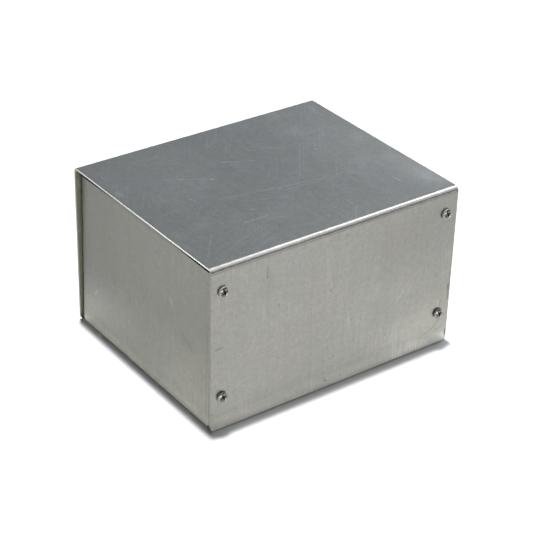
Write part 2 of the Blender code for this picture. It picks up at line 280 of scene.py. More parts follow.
# Grime and rubbed marks on the ends: y, z of both ends, half width, all in mm, and strength
END_GRIME = (
    (10.0, 72.0, 10.5, 25.0, 1.10, 0.10),
    (-38.0, 21.0, -38.2, 7.0, 0.60, 0.22),
    (-47.0, 46.0, -47.1, 2.0, 0.60, 0.20),
    (-45.4, 70.0, -45.5, 30.0, 0.50, 0.12),
    (48.6, 17.8, 47.9, 17.3, 0.55, 0.55),
    (-5.0, 2.6, -45.0, 2.4, 0.45, 0.22),
    (20.0, 48.5, 21.5, 47.0, 0.90, 0.12),
    (-29.5, 36.0, -37.0, 30.5, 2.40, 0.10),
)
END_RUBS = (
    (-20.6, 48.6, -22.2, 44.4, 0.55, 0.35),
    (37.0, 21.8, 39.4, 19.0, 0.55, 0.40),
    (26.0, 31.5, 24.0, 30.0, 0.50, 0.25),
    (5.5, 33.4, 4.9, 31.0, 0.45, 0.22),
)

# Fine hatching: its angle in degrees, the noise level from which it shows, and its strength
TOP_HATCHING = (
    (-12.0, 0.50, 0.11),
    (35.0, 0.48, 0.14),
    (70.0, 0.52, 0.10),
    (110.0, 0.53, 0.10),
    (52.0, 0.50, 0.11),
)
FLAP_HATCHING = (
    (4.0, 0.50, 0.10),
    (-38.0, 0.54, 0.08),
)

# Worn spots on a screw's head, painted bright as glints: across and up from its axis, and two radii,
# in mm
GLINT_SPOTS = (
    (1.2, -1.4, 0.35, 0.75),
    (-1.5, 1.4, 0.40, 0.80),
)

# The sheets' noises, in cells per metre: across and along the rolling grain, or the same each way
HAIRLINE_CELLS = (2600.0, 45.0)
STREAK_CELLS = (620.0, 9.0)
BROAD_STREAK_CELLS = (90.0, 6.0)
HATCHING_CELLS = (620.0, 22.0)
STAIN_CELLS = 34.0
TINT_CELLS = 55.0
HATCHED_AREA_CELLS = 38.0

# How much those noises vary the brightness, and the even noises: cells and variation
HAIRLINE_VARIATION = 0.16
STREAK_VARIATION = 0.20
BROAD_STREAK_VARIATION = 0.10
STAIN_VARIATION = 0.16
EVEN_NOISES = (
    (350.0, 0.20),
    (900.0, 0.26),
    (2500.0, 0.30),
)
COVER_STREAKS = 0.6             # the cover's grain is fainter than the chassis'
CHASSIS_STREAKS = 1.0

# Painted light at the foot of the front and of the left end, against the floor shadow that they
# mirror, and more roughness there
FOOT_LIGHT_HEIGHT = 8 * MM
FOOT_LIGHT_FALLOFF = 2.0
FOOT_ROUGHENING = 0.30
FRONT_FOOT_LIGHT = 2.4
END_FOOT_LIGHT = 1.9
BRIGHTEST = 2.9                 # of the sheet's own tone, where marks add up

# Painted dark bands of shade: from where to where each comes in, and how much darker it is
BEND_FOOT_SHADE_LOW = (-0.5 * MM, 0.5 * MM)      # from the foot of the front bend
BEND_FOOT_SHADE_HIGH = (0.9 * MM, 1.5 * MM)
BEND_FOOT_PAINTED_SHADE = -0.44
UNDER_TOP_SHADE_Z = (72.0 * MM, 73.6 * MM)
UNDER_TOP_SHADE = -0.22
FOLD_SHADE_Y = (48.4 * MM, 49.4 * MM)
FOLD_SHADE = -0.28

# Painted shade on the ends, darker upwards and to the rear: from where to where, and how much darker
# at each
END_SHADE_SLOPE = 0.17        # the rear is shaded from lower down
END_SHADE_Z = (14 * MM, 40 * MM)
END_SHADE_Y = (-45 * MM, 48 * MM)
END_PAINTED_SHADE = (-0.15, -0.38)

# Distances from a screw's axis over which its grime ends and its dusty rim begins
SCREW_GRIME_REACH = (1.5 * MM, 2.2 * MM)
RIM_START = (2.12 * MM, 2.28 * MM)

# Colours, linear
COVER_TONE = (0.343, 0.343, 0.327)
COVER_WARM_TONE = (0.350, 0.343, 0.319)
CHASSIS_TONE = (0.246, 0.246, 0.222)
CHASSIS_WARM_TONE = (0.251, 0.248, 0.217)
# Pale scratches and rubs, paler partly as a painted highlight where they catch the overhead light
PALE_SCRATCH = (0.66, 0.70, 0.72)
RUBBED = (0.60, 0.55, 0.47)
GRIME = (0.075, 0.075, 0.055)
OLD_STAIN = (0.215, 0.180, 0.100)
CREAM = (0.50, 0.46, 0.33)
# Polished metal, painted brighter as a highlight on the bends and as glints on the screws
POLISH_AND_HIGHLIGHT = (0.94, 0.90, 0.84)
# Olive film on the flaps' inner sides, painted brighter as light in their shade
HIDDEN_SIDE_FILM_AND_LIGHT = (0.54, 0.56, 0.42)
# Painted shade: the flaps darker than the top, against the bright floor they mirror
FLAP_PAINTED_SHADE = (0.870, 0.868, 0.845)
# Painted shade: the black of the chassis' cut edges in the gap under the top
GAP_SHADE_BLACK = (0.03, 0.03, 0.028)
SCREW_GRIME = (0.09, 0.085, 0.08)
DUSTY_RIM = (0.36, 0.355, 0.34)
# Cut edges round the top: sheared metal, made brighter as a painted highlight on their rim
BRIGHT_EDGE_HIGHLIGHT = ((0.74, 0.74, 0.72), (0.88, 0.88, 0.86))
WORN_EDGE_HIGHLIGHT = ((0.50, 0.50, 0.48), (0.68, 0.68, 0.66))
DULL_EDGE = ((0.20, 0.20, 0.18), (0.26, 0.26, 0.235))
ZINC = ((0.42, 0.40, 0.39), (0.24, 0.23, 0.22))
# The recess: dirt, and painted shade that makes it nearly black
RECESS_SHADE_AND_DIRT = ((0.03, 0.03, 0.027), (0.16, 0.15, 0.14))
PALE_FLOOR = ((0.86, 0.86, 0.86), (0.88, 0.88, 0.88))


def on_plane(plane, first, second):
    """A point or size on a face from its two numbers, with zero for the third axis."""
    point = Vector()
    point[plane[0]] = first
    point[plane[1]] = second
    return point


def colour(tone):
    return (*tone, 1.0)


class Graph:
    """A small builder for the nodes of a material or of the world."""

    def __init__(self, owner, coordinates):
        owner.use_nodes = True
        self.nodes = owner.node_tree.nodes
        self.links = owner.node_tree.links
        self.position = self.nodes.new("ShaderNodeTexCoord").outputs[coordinates]

    def feed(self, socket, value):
        """Link a socket, or set a constant on it."""
        if isinstance(value, bpy.types.NodeSocket):
            self.links.new(value, socket)
        else:
            socket.default_value = value

    def feed_all(self, node, values):
        """Link or set several of a node's inputs."""
        for key, value in values.items():
            self.feed(node.inputs[key], value)

    def math(self, operation, first, second=0.0, third=0.0, clamp=False):
        node = self.nodes.new("ShaderNodeMath")
        node.operation = operation
        node.use_clamp = clamp
        self.feed_all(node, {0: first, 1: second, 2: third})
        return node.outputs[0]

    def times(self, first, second):
        return self.math("MULTIPLY", first, second)

    def vector(self, operation, first, second=(0.0, 0.0, 0.0)):
        node = self.nodes.new("ShaderNodeVectorMath")
        node.operation = operation
        self.feed_all(node, {0: first, 1: second})
        value = operation in ("DOT_PRODUCT", "LENGTH", "DISTANCE")
        return node.outputs["Value" if value else "Vector"]

    def scaled(self, vector, factor):
        node = self.nodes.new("ShaderNodeVectorMath")
        node.operation = "SCALE"
        self.feed_all(node, {0: vector, "Scale": factor})
        return node.outputs["Vector"]

    def mapped(self, scale, turn=(0.0, 0.0, 0.0), shift=(0.0, 0.0, 0.0)):
        """The position, turned and then stretched, in cells per metre."""
        turned = self.nodes.new("ShaderNodeMapping")
        self.feed_all(turned, {"Vector": self.position, "Rotation": turn})
        place = turned.outputs["Vector"]
        stretched = self.nodes.new("ShaderNodeMapping")
        self.feed_all(stretched, {"Vector": place, "Scale": scale, "Location": shift})
        return stretched.outputs["Vector"]

    def noise_node(self, vector, detail, roughness, distortion):
        node = self.nodes.new("ShaderNodeTexNoise")
        self.feed_all(node, {"Vector": vector, "Scale": 1.0, "Detail": detail})
        self.feed_all(node, {"Roughness": roughness, "Distortion": distortion})
        return node

    def noise(self, vector, detail=2.0, roughness=0.5, distortion=0.0):
        return self.noise_node(vector, detail, roughness, distortion).outputs["Fac"]

    def even_noise(self, cells, detail=2.0, shift=0.0, roughness=0.5, distortion=0.0):
        """A noise of the same scale each way, in cells per metre."""
        place = self.mapped((cells,) * 3, shift=(shift,) * 3)
        return self.noise(place, detail, roughness, distortion)

    def wavering(self, cells, reach):
        """The position, pushed a little to and fro so that marks on it aren't ruler-straight."""
        push = self.noise_node(self.mapped((cells,) * 3), 2.0, 0.5, 0.0)
        centred = self.vector("SUBTRACT", push.outputs["Color"], (0.5, 0.5, 0.5))
        return self.vector("ADD", self.position, self.scaled(centred, reach))

    def window(self, value, low, high, to_low=0.0, to_high=1.0):
        """A smooth step of a value from low to high."""
        node = self.nodes.new("ShaderNodeMapRange")
        node.interpolation_type = "SMOOTHSTEP"
        self.feed_all(node, {"Value": value, "From Min": low, "From Max": high})
        self.feed_all(node, {"To Min": to_low, "To Max": to_high})
        return node.outputs["Result"]

    def mix(self, amount, first, second, blend="MIX"):
        node = self.nodes.new("ShaderNodeMix")
        node.data_type = "RGBA"
        node.blend_type = blend
        self.feed_all(node, {"Factor": amount, "A": first, "B": second})
        return node.outputs["Result"]

    def between(self, tones, amount):
        """A colour between the two of a pair."""
        return self.mix(amount, colour(tones[0]), colour(tones[1]))

    def separate(self, vector):
        node = self.nodes.new("ShaderNodeSeparateXYZ")
        self.feed(node.inputs["Vector"], vector)
        return node.outputs


class Surface(Graph):
    """One material and its shader."""

    def __init__(self, name):
        self.material = bpy.data.materials.new(name)
        super().__init__(self.material, "Object")
        self.shader = self.nodes["Principled BSDF"]

    def metal(self, base, rough):
        """Connect a metal's colour and roughness."""
        self.feed_all(self.shader, {"Metallic": 1.0, "Base Color": base, "Roughness": rough})

    def bump(self, height, strength, distance):
        node = self.nodes.new("ShaderNodeBump")
        self.feed_all(node, {"Height": height, "Strength": strength, "Distance": distance})
        self.links.new(node.outputs["Normal"], self.shader.inputs["Normal"])


class Sheet(Surface):
    """Bare rolled sheet, whose tint, brightness and roughness take its marks one by one."""

    def __init__(self, name, grain, streaks, tone, warm_tone):
        """grain is the axis that the rolling grain runs across, and streaks how strong it is."""
        super().__init__(name)
        self.grain = grain
        self.x, self.y, self.z = self.separate(self.position)
        self.wavy = self.wavering(90.0, 1.5 * MM)
        self.cloudy = self.wavering(70.0, 9.0 * MM)
        self.hairline = self.noise(self.stretched(*HAIRLINE_CELLS))
        self.streak = self.noise(self.stretched(*STREAK_CELLS), 3.0, 0.6)
        self.stain = self.even_noise(STAIN_CELLS, 4.0, roughness=0.55, distortion=0.8)
        warmth = self.window(self.even_noise(TINT_CELLS, shift=7.0), 0.3, 0.7)
        self.tint = self.between((tone, warm_tone), warmth)
        stained = self.math("MULTIPLY_ADD", self.stain, 0.16, 0.28)
        smoothest = self.math("SUBTRACT", stained, 0.05)
        self.rough = self.math("MULTIPLY_ADD", self.streak, 0.10, smoothest)
        self.level = 1.0
        self.vary(self.hairline, HAIRLINE_VARIATION * streaks)
        self.vary(self.streak, STREAK_VARIATION * streaks)
        self.vary(self.stain, STAIN_VARIATION)
        self.vary(self.noise(self.stretched(*BROAD_STREAK_CELLS)), BROAD_STREAK_VARIATION * streaks)
        for cells, variation in EVEN_NOISES:
            self.vary(self.even_noise(cells), variation)

    def stretched(self, fine, along):
        """The position in cells that are narrow across the rolling grain and long along it."""
        return self.mapped(tuple(fine if axis == self.grain else along for axis in range(3)))

    def vary(self, pattern, depth):
        """Brighten and darken the sheet by a noise that averages a half."""
        swing = self.math("MULTIPLY_ADD", pattern, depth, 1.0 - depth / 2)
        self.level = self.times(self.level, swing)

    def brighten(self, mask, amount):
        """Make the sheet brighter, or darker for a negative amount, where a mask is."""
        gain = self.math("MULTIPLY_ADD", mask, amount, 1.0)
        self.level = self.times(self.level, gain)

    def cover_with(self, mask, tone):
        """Mix another colour in where a mask is."""
        self.tint = self.mix(mask, self.tint, colour(tone))

    def filter(self, mask, tone):
        """Multiply the sheet's colour by another where a mask is."""
        self.tint = self.mix(mask, self.tint, colour(tone), blend="MULTIPLY")

    def roughen(self, mask, amount):
        self.rough = self.math("MULTIPLY_ADD", mask, amount, self.rough)

    def areas(self, table, plane):
        """The sum of a face's broad soft areas."""
        total = 0.0
        for first, second, first_radius, second_radius, amount in table:
            offset = self.vector("SUBTRACT", self.cloudy, on_plane(plane, first * MM, second * MM))
            shrink = on_plane(plane, 1 / (first_radius * MM), 1 / (second_radius * MM))
            reach = self.vector("LENGTH", self.vector("MULTIPLY", offset, shrink))
            total = self.math("ADD", total, self.window(reach, 0.1, 1.1, amount, 0.0))
        return total

    def strokes(self, table, plane):
        """The strongest of a face's strokes at each point."""
        flat = self.vector("MULTIPLY", self.wavy, on_plane(plane, 1.0, 1.0))
        total = 0.0
        for first, second, last_first, last_second, half_width, strength in table:
            start = on_plane(plane, first * MM, second * MM)
            run = on_plane(plane, last_first * MM, last_second * MM) - start
            away = self.vector("SUBTRACT", flat, start)
            if run.length > 0:
                share = self.vector("DOT_PRODUCT", away, run / run.length_squared)
                share = self.math("ADD", share, 0.0, clamp=True)
                away = self.vector("SUBTRACT", away, self.scaled(run, share))
            distance = self.vector("LENGTH", away)
            mark = self.window(distance, 0.0, half_width * MM, strength, 0.0)
            total = self.math("MAXIMUM", total, mark)
        return total

    def broken(self, mask, cells=1300.0):
        """Break a mark up as dust and grain do."""
        patches = self.window(self.even_noise(cells), 0.34, 0.54, 0.30, 1.0)
        return self.times(mask, patches)

    def draw(self, table, plane, face, cells, tone):
        """Colour one face with a table of strokes, broken up in patches."""
        marks = self.broken(self.strokes(table, plane), cells)
        self.cover_with(self.times(marks, face), tone)

    def hatching(self, plane, angle, threshold):
        """Fine scratches, nearly all one way, in scattered areas of a face."""
        normal = 3 - plane[0] - plane[1]
        turn = [0.0, 0.0, 0.0]
        turn[normal] = math.radians(angle)
        cells = on_plane(plane, *HATCHING_CELLS)
        lines = self.noise(self.mapped(cells, turn, (angle, 0.0, angle)), 1.0)
        off_line = self.math("ABSOLUTE", self.math("SUBTRACT", lines, 0.5))
        line = self.window(off_line, 0.0, 0.05, 1.0, 0.0)
        patches = self.even_noise(HATCHED_AREA_CELLS, shift=angle)
        area = self.window(patches, threshold, threshold + 0.16)
        return self.times(line, area)

    def outer(self, coordinate, sign, level):
        """1 on the outer side of a flat wall that ends at this level, and 0 on its inner side."""
        outward = self.times(coordinate, sign)
        return self.window(outward, level - 0.7 * SHEET, level - 0.4 * SHEET)

    def finish(self):
        """Connect the sheet's colour, roughness and relief to its metal shader."""
        shade = self.nodes.new("ShaderNodeCombineColor")
        self.feed_all(shade, dict.fromkeys(("Red", "Green", "Blue"), self.level))
        self.metal(self.mix(1.0, self.tint, shade.outputs["Color"], blend="MULTIPLY"), self.rough)
        height = self.math("MULTIPLY_ADD", self.hairline, 0.6, self.times(self.streak, 0.4))
        self.bump(height, 0.12, 0.03 * MM)
        return self.material


def scatter_specks(sheet):
    """A few small dark and pale specks on every face."""
    dark = sheet.window(sheet.even_noise(420.0, 0.0, 3.0), 0.80, 0.88, 0.0, 0.22)
    sheet.cover_with(dark, GRIME)
    pale = sheet.window(sheet.even_noise(520.0, 0.0, 11.0), 0.81, 0.88, 0.0, 0.20)
    sheet.cover_with(pale, PALE_SCRATCH)


def weather_top(sheet):
    """Scratches, pale partly as a painted highlight, rubbed marks, pale clouds and broad areas of
    painted light and shade on the top.
    """
    face = sheet.outer(sheet.z, 1.0, TOP)
    hatch = 0.0
    for angle, threshold, strength in TOP_HATCHING:
        layer = sheet.times(sheet.hatching(TOP_PLANE, angle, threshold), strength)
        hatch = sheet.math("MAXIMUM", hatch, layer)
    scratch = sheet.math("MAXIMUM", hatch, sheet.broken(sheet.strokes(TOP_SCRATCHES, TOP_PLANE)))
    scratch = sheet.times(scratch, face)
    rubbed = sheet.times(sheet.broken(sheet.strokes(TOP_RUBS, TOP_PLANE), 900.0), face)
    # Pale clouds, and painted light and shade in broad areas
    sheet.brighten(face, sheet.areas(TOP_CLOUDS + TOP_LIGHT_AREAS, TOP_PLANE))
    sheet.cover_with(scratch, PALE_SCRATCH)
    sheet.cover_with(rubbed, RUBBED)
    sheet.roughen(sheet.math("MAXIMUM", scratch, rubbed), 0.15)


def weather_front(sheet):
    """Grime, old stains and broad areas of painted light and shade on the front flap, painted shade
    over both flaps, and faint hatching on both flaps.
    """
    face = sheet.outer(sheet.y, -1.0, HALF_DEPTH)
    # Painted light and shade in broad areas
    sheet.brighten(face, sheet.areas(FRONT_LIGHT_AREAS, FLAP_PLANE))
    sheet.draw(FRONT_STAINS, FLAP_PLANE, face, 600.0, OLD_STAIN)
    sheet.draw(FRONT_CREAM, FLAP_PLANE, face, 900.0, CREAM)
    sheet.draw(FRONT_GRIME, FLAP_PLANE, face, 900.0, GRIME)
    # Painted shade: both flaps darker than the top
    flap = sheet.outer(sheet.math("ABSOLUTE", sheet.y), 1.0, HALF_DEPTH)
    sheet.filter(flap, FLAP_PAINTED_SHADE)
    for angle, threshold, strength in FLAP_HATCHING:
        layer = sheet.times(sheet.hatching(FLAP_PLANE, angle, threshold), strength)
        sheet.cover_with(sheet.times(layer, flap), PALE_SCRATCH)


def tint_and_light_hidden_sides(sheet):
    """The inner sides of the flaps keep a greasy olive film, painted brighter as light on their
    shaded strip.
    """
    inner = sheet.window(
        sheet.math("ABSOLUTE", sheet.y),
        HALF_DEPTH - 0.8 * SHEET,
        HALF_DEPTH - 0.5 * SHEET,
        0.85,
        0.0,
    )
    below = sheet.window(sheet.z, TOP - 2.0 * SHEET, TOP - 1.2 * SHEET, 1.0, 0.0)
    hidden = sheet.times(inner, below)
    sheet.cover_with(hidden, HIDDEN_SIDE_FILM_AND_LIGHT)
    sheet.roughen(hidden, 0.20)


def polish_and_light_bends(sheet):
    """The cover's two bends are polished and painted brighter, partly as a painted highlight, and the
    front one's foot gets a painted dark line of the dark horizon that it mirrors.
    """
    beyond = sheet.math("SUBTRACT", sheet.math("ABSOLUTE", sheet.y), COVER_FLAT_DEPTH)
    above = sheet.math("SUBTRACT", sheet.z, COVER_BEND_Z)
    radius = COVER_BEND_RADIUS
    mask = sheet.times(
        sheet.window(beyond, 0.10 * radius, 0.35 * radius),
        sheet.window(above, 0.05 * radius, 0.35 * radius),
    )
    wear = sheet.window(sheet.noise(sheet.mapped((160.0, 2400.0, 2400.0))), 0.25, 0.6, 0.75, 1.0)
    mask = sheet.times(mask, wear)
    # Painted highlight: the bends' polish is a brighter colour
    sheet.cover_with(mask, POLISH_AND_HIGHLIGHT)
    # Painted shade: a dark line at the foot of the front bend
    front = sheet.window(sheet.y, 0.0, MM, 1.0, 0.0)
    line = sheet.times(
        sheet.window(above, *BEND_FOOT_SHADE_LOW),
        sheet.window(above, *BEND_FOOT_SHADE_HIGH, 1.0, 0.0),
    )
    sheet.brighten(sheet.times(line, front), BEND_FOOT_PAINTED_SHADE)


def light_foot(sheet, mask, amount):
    """The lowest few millimetres of a face are painted brighter against the mirrored floor shadow,
    and are rougher.
    """
    foot = sheet.math("MULTIPLY_ADD", sheet.z, -1 / FOOT_LIGHT_HEIGHT, 1.0, clamp=True)
    foot = sheet.times(sheet.math("POWER", foot, FOOT_LIGHT_FALLOFF), mask)
    # Painted light against the mirrored floor shadow
    sheet.brighten(foot, amount)
    sheet.roughen(foot, FOOT_ROUGHENING)
    sheet.level = sheet.math("MINIMUM", sheet.level, BRIGHTEST)


def cover_material():
    sheet = Sheet("cover_sheet", 0, COVER_STREAKS, COVER_TONE, COVER_WARM_TONE)
    scatter_specks(sheet)
    weather_top(sheet)
    weather_front(sheet)
    polish_and_light_bends(sheet)
    tint_and_light_hidden_sides(sheet)
    light_foot(sheet, sheet.outer(sheet.y, -1.0, HALF_DEPTH), FRONT_FOOT_LIGHT)
    return sheet.finish()


def weather_ends(sheet):
    """Vertical streaks and smudges on the ends, with areas of painted light and shade, painted shade
    towards their upper rear corner, under the top and along the folds, and painted light at the left
    end's foot.
    """
    end = sheet.window(sheet.math("ABSOLUTE", sheet.x), END_OUT - 5 * MM, END_OUT - 4 * MM)
    # Painted light and shade in broad areas
    sheet.brighten(end, sheet.areas(END_LIGHT_AREAS, END_PLANE))
    # Painted shade towards the upper rear corner, where the end mirrors a darker floor
    height = sheet.separate(sheet.cloudy)[2]
    slope = sheet.math("MULTIPLY_ADD", sheet.y, END_SHADE_SLOPE, height)
    high = sheet.window(slope, *END_SHADE_Z)
    rearward = sheet.window(sheet.y, *END_SHADE_Y, *END_PAINTED_SHADE)
    sheet.brighten(sheet.times(high, end), rearward)
    overhang = sheet.window(sheet.z, *UNDER_TOP_SHADE_Z)
    sheet.brighten(sheet.times(overhang, end), UNDER_TOP_SHADE)
    fold = sheet.window(sheet.math("ABSOLUTE", sheet.y), *FOLD_SHADE_Y)
    sheet.brighten(sheet.times(fold, end), FOLD_SHADE)
    sheet.draw(END_RUBS, END_PLANE, end, 900.0, PALE_SCRATCH)
    sheet.draw(END_GRIME, END_PLANE, end, 700.0, GRIME)
    left = sheet.window(sheet.x, -MM, MM, 1.0, 0.0)
    light_foot(sheet, sheet.times(end, left), END_FOOT_LIGHT)


def chassis_material():
    sheet = Sheet("chassis_sheet", 1, CHASSIS_STREAKS, CHASSIS_TONE, CHASSIS_WARM_TONE)
    scatter_specks(sheet)
    weather_ends(sheet)
    return sheet.finish()


def cut_edge_material():
    """Sheared edges: bright round the top, partly as a painted highlight, dull elsewhere, and painted
    black as shade under the top.
    """
    g = Surface("cut_edge")
    depth, height = g.separate(g.position)[1:3]
    drag = g.noise(g.mapped((900.0, 900.0, 3000.0)))
    dragged = g.window(drag, 0.3, 0.7)
    rearward = g.window(depth, -20 * MM, 30 * MM)
    # Round the top the cut edges are painted bright, partly as a highlight
    bright = g.mix(rearward, g.between(BRIGHT_EDGE_HIGHLIGHT, dragged), g.between(WORN_EDGE_HIGHLIGHT, dragged))
    outside = g.window(height, TOP - 0.84 * SHEET, TOP - 0.58 * SHEET)
    base = g.mix(outside, g.between(DULL_EDGE, dragged), bright)
    from_middle = g.math("ABSOLUTE", depth)
    inside = g.window(from_middle, HALF_DEPTH - 1.3 * SHEET, HALF_DEPTH - 1.1 * SHEET, 1.0, 0.0)
    under = g.window(height, TOP - 0.98 * SHEET, TOP - 0.82 * SHEET, 1.0, 0.0)
    high = g.window(height, TOP - 9 * MM, TOP - 7 * MM)
    # Painted shade: the chassis' cut edges under the top are painted black, less towards the rear
    shaded_under_top = g.times(g.times(inside, under), high)
    shaded_under_top = g.times(shaded_under_top, g.window(depth, 5 * MM, 50 * MM, 1.0, 0.15))
    base = g.mix(shaded_under_top, base, colour(GAP_SHADE_BLACK))
    g.metal(base, g.window(drag, 0.2, 0.8, 0.24, 0.36))
    g.bump(drag, 0.2, 0.02 * MM)
    return g.material


def screw_material():
    """Zinc plating that has gone grey, with grime round the driver's recess, painted glints on worn
    spots and a dusty rim.
    """
    g = Surface("zinc_plating")
    flat = g.vector("MULTIPLY", g.position, on_plane(FLAP_PLANE, 1.0, 1.0))

    def distance_from(across, up):
        """How far each point is from the nearest screw's axis, or from a point beside it."""
        nearest = 1.0
        for level, side in CORNERS:
            seat = screw_seat("front", level, side)
            middle = on_plane(FLAP_PLANE, seat.x + across, seat.z + up)
            nearest = g.math("MINIMUM", nearest, g.vector("DISTANCE", flat, middle))
        return nearest

    off_centre = distance_from(0.0, 0.0)
    tarnish = g.even_noise(1400.0, 3.0, roughness=0.6)
    base = g.between(ZINC, g.window(tarnish, 0.35, 0.75))
    patchy = g.window(g.even_noise(1900.0), 0.35, 0.55, 0.3, 1.0)
    grimy = g.times(patchy, g.window(off_centre, *SCREW_GRIME_REACH, 0.9, 0.0))
    base = g.mix(grimy, base, colour(SCREW_GRIME))
    # Painted glints: brighter colour on worn spots
    glint = 0.0
    for across, up, inner, outer in GLINT_SPOTS:
        spot = g.window(distance_from(across * MM, up * MM), inner * MM, outer * MM, 1.0, 0.0)
        glint = g.math("MAXIMUM", glint, spot)
    base = g.mix(glint, base, colour(POLISH_AND_HIGHLIGHT))
    rim = g.window(off_centre, *RIM_START)
    base = g.mix(rim, base, colour(DUSTY_RIM))
    g.metal(base, g.math("MULTIPLY_ADD", rim, 0.3, g.window(tarnish, 0.3, 0.8, 0.16, 0.32)))
    g.feed(g.shader.inputs["Metallic"], g.math("MULTIPLY_ADD", rim, -0.85, 1.0))
    g.bump(tarnish, 0.15, 0.03 * MM)
    return g.material


def recess_shade_material():
    """The cross recess keeps grease and dust, and is painted nearly black as the shade inside it."""
    g = Surface("recess_shade_and_dirt")
    grime = g.even_noise(2500.0, 3.0)
    base = g.between(RECESS_SHADE_AND_DIRT, g.window(grime, 0.35, 0.7))
    g.metal(base, g.window(grime, 0.3, 0.8, 0.35, 0.6))
    g.bump(grime, 0.2, 0.03 * MM)
    return g.material


def floor_material():
    """A plain pale studio floor."""
    g = Surface("studio_floor")
    tooth = g.even_noise(300.0)
    g.feed(g.shader.inputs["Base Color"], g.between(PALE_FLOOR, tooth))
    g.shader.inputs["Roughness"].default_value = 0.9
    g.shader.inputs["Specular IOR Level"].default_value = 0.1
    return g.material


# Meshes


def new_object(name, bm, *materials):
    mesh = bpy.data.meshes.new(name)
    bm.to_mesh(mesh)
    bm.free()
    for material in materials:
        mesh.materials.append(material)
    piece = bpy.data.objects.new(name, mesh)
    bpy.context.scene.collection.objects.link(piece)
    return piece


def add_panel(bm, corners):
    """One flat panel of a folded sheet, from its corners in order."""
    bm.faces.new([bm.verts.new(corner) for corner in corners])


def add_strip(bm, first_edge, second_edge):
    """A row of flats between two matching lines of points, such as a bend."""
    for k in range(len(first_edge) - 1):
        add_panel(bm, (first_edge[k], first_edge[k + 1], second_edge[k + 1], second_edge[k]))


def slice_panels(bm, axis, reach):
    """Cut every panel at even steps along an axis, so that it can be made uneven."""
    normal = Vector()
    normal[axis] = 1.0
    steps = int(2 * reach / PANEL_GRID)
    for k in range(1, steps):
        place = normal * (k * 2 * reach / steps - reach)
        everything = bm.verts[:] + bm.edges[:] + bm.faces[:]
        bmesh.ops.bisect_plane(bm, geom=everything, plane_co=place, plane_no=normal)


def join_panels(bm, middle, unevenness):
    """Weld the panels, face them away from the middle and set each point off flat."""
    bmesh.ops.remove_doubles(bm, verts=bm.verts, dist=WELD_DISTANCE)
    bm.normal_update()
    for face in bm.faces:
        if face.normal.dot(face.calc_center_median() - middle) < 0:
            face.normal_flip()
    bm.normal_update()
    moves = [(v, unevenness(v.co) * v.normal) for v in bm.verts]
    for vertex, move in moves:
        vertex.co += move


def apply_modifiers(piece, *helpers):
    """Apply a piece's modifiers and delete the cutters that they used."""
    graph = bpy.context.evaluated_depsgraph_get()
    mesh = bpy.data.meshes.new_from_object(piece.evaluated_get(graph))
    piece.modifiers.clear()
    old = piece.data
    piece.data = mesh
    bpy.data.meshes.remove(old)
    mesh.name = piece.name
    for helper in helpers:
        bpy.data.objects.remove(helper, do_unlink=True)


def subtract(piece, cutter):
    boolean = piece.modifiers.new("Cut " + cutter.name, "BOOLEAN")
    boolean.operation = "DIFFERENCE"
    boolean.solver = "EXACT"
    boolean.object = cutter


def round_edges(piece, width, steps, angle):
    """Round every edge that turns by more than an angle."""
    rounding = piece.modifiers.new("Rounded edges", "BEVEL")
    rounding.width = width
    rounding.segments = steps
    rounding.limit_method = "ANGLE"
    rounding.angle_limit = angle


def screw_node(face, level, side):
    return "_".join(("screw", face, level, side))


def screw_seat(face, level, side):
    """The middle of the underside of a screw's head."""
    low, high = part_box(screw_node(face, level, side))
    outward = FACES[face]
    crown = low.y if outward < 0 else high.y
    return Vector(((low.x + high.x) / 2, crown - outward * HEAD_HEIGHT, (low.z + high.z) / 2))


def punches(name, diameter, wall, face, material):
    """Round cutters through one wall, at the four screws of one face."""
    bm = bmesh.new()
    for level, side in CORNERS:
        seat = screw_seat(face, level, side)
        middle = Vector((seat.x, FACES[face] * (wall - SHEET / 2), seat.z))
        bmesh.ops.create_cone(
            bm,
            cap_ends=True,
            segments=HOLE_SIDES,
            radius1=diameter / 2,
            radius2=diameter / 2,
            depth=SHEET + 2 * CUTTER_OVERRUN,
            matrix=Matrix.Translation(middle) @ Matrix.Rotation(math.pi / 2, 4, "X"),
        )
    return new_object(name, bm, material)


def finish_folded_sheet(piece, diameter, wall, edge_material):
    """Thickness, rounded cut edges and screw holes for a folded surface."""
    solidify = piece.modifiers.new("Sheet thickness", "SOLIDIFY")
    solidify.thickness = SHEET
    solidify.offset = -1.0
    solidify.use_even_offset = True
    solidify.use_rim = True
    solidify.material_offset_rim = 1
    round_edges(piece, CUT_EDGE_ROUNDING, 3, SHEET_ROUNDING_ANGLE)
    cutters = [
        punches(piece.name + "_punch_" + face, diameter, wall, face, edge_material)
        for face in FACES
    ]
    for cutter in cutters:
        subtract(piece, cutter)
    piece.data.shade_smooth()
    apply_modifiers(piece, *cutters)
    piece.data.set_sharp_from_angle(angle=SHEET_SHARP_ANGLE)
    weights = piece.modifiers.new("Face shading", "WEIGHTED_NORMAL")
    weights.keep_sharp = True
    weights.weight = FACE_SHADING_WEIGHT


def bend_angles(turn=math.pi / 2):
    """The steps of a bend, from the panel before it to the one after it."""
    return [k / BEND_STEPS * turn for k in range(BEND_STEPS + 1)]


def fade(value, reach):
    """1 in the middle of a panel and 0 at its rim."""
    return max(0.0, 1.0 - (value / reach) ** 4)


def cover_unevenness(point):
    """The top and the flaps dish inwards a little between their bends."""
    across = fade(point.x, HALF_LENGTH)
    middle_height = (COVER_BEND_Z + FLAP_BOTTOM) / 2
    if point.z > TOP - WELD_DISTANCE:
        return -PANEL_DISH * across * fade(point.y, COVER_FLAT_DEPTH)
    if abs(point.y) > HALF_DEPTH - WELD_DISTANCE:
        return -PANEL_DISH * across * fade(point.z - middle_height, middle_height)
    return 0.0


